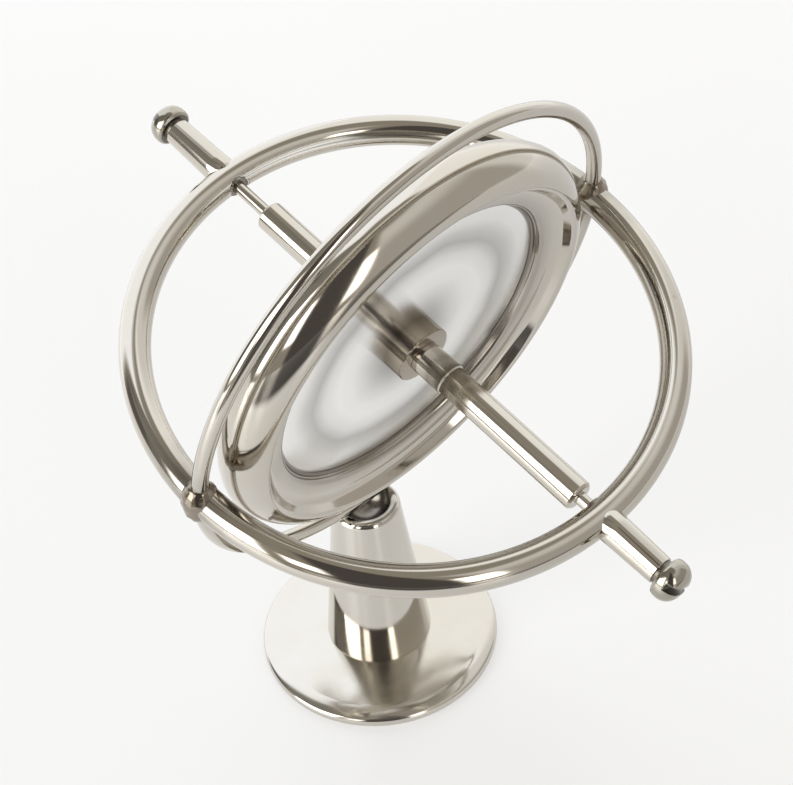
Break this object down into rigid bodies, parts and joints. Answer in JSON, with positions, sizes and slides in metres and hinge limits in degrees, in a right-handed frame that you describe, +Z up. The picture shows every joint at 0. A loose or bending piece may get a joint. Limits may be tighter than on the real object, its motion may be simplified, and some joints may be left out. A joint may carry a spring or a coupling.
{
  "type": "gyroscope on stand",
  "caption": "Science demonstration gyroscope: a heavy rotor spinning in a ring-and-hoop frame that leans on the cup of a turned conical stand with a round base.",
  "frame": {"origin": "centre of the base plate's underside, on the column's axis", "axes": "+Z up along the column; +X level, towards the lower end of the gyroscope's axle"},
  "size_m": [0.0817, 0.0648, 0.0859],
  "materials": {
    "stand_plating": "polished nickel plating on turned steel",
    "ring_plating": "polished nickel plating on bent steel wire",
    "hoop_plating": "polished nickel plating on bent steel wire",
    "brazing": "plated brazing, slightly rough",
    "screw_plating": "polished nickel plating on turned steel",
    "screw_steel": "plain zinc-plated steel",
    "bearing_steel": "dark oiled steel, turned",
    "rotor_plating": "polished nickel plating on a cast and turned rim",
    "turned_web": "lathe-turned face with fine circular marks",
    "axle_steel": "polished nickel plating on turned steel"
  },
  "bodies": {
    "stand": {"base_plate": "stand_plating", "column": "stand_plating", "column_stud": "screw_steel"},
    "gyro_frame": {"outer_ring": "ring_plating", "upper_hoop": "hoop_plating", "lower_hoop": "hoop_plating", "left_brazing": "brazing", "right_brazing": "brazing", "near_stub": "ring_plating", "far_stub": "ring_plating", "near_pivot_screw": "screw_plating", "far_pivot_screw": "screw_plating", "near_bearing": "bearing_steel", "far_bearing": "bearing_steel"},
    "rotor": {"rotor_rim": "rotor_plating", "rotor_web": "turned_web", "hub": "axle_steel", "near_collar": "axle_steel", "far_collar": "axle_steel", "near_sleeve": "axle_steel", "far_sleeve": "axle_steel", "spindle": "axle_steel"}
  },
  "joints": [
    {"name": "precession", "type": "hinge", "parent": "stand", "child": "gyro_frame", "pos_m": [0, 0, 0.0266], "axis": [0, 0, 1], "continuous": true},
    {"name": "rotor_spin", "type": "hinge", "parent": "gyro_frame", "child": "rotor", "pos_m": [0.00787, 0.00197, 0.05575], "axis": [0.9648, -0.0191, -0.2622], "continuous": true}
  ]
}
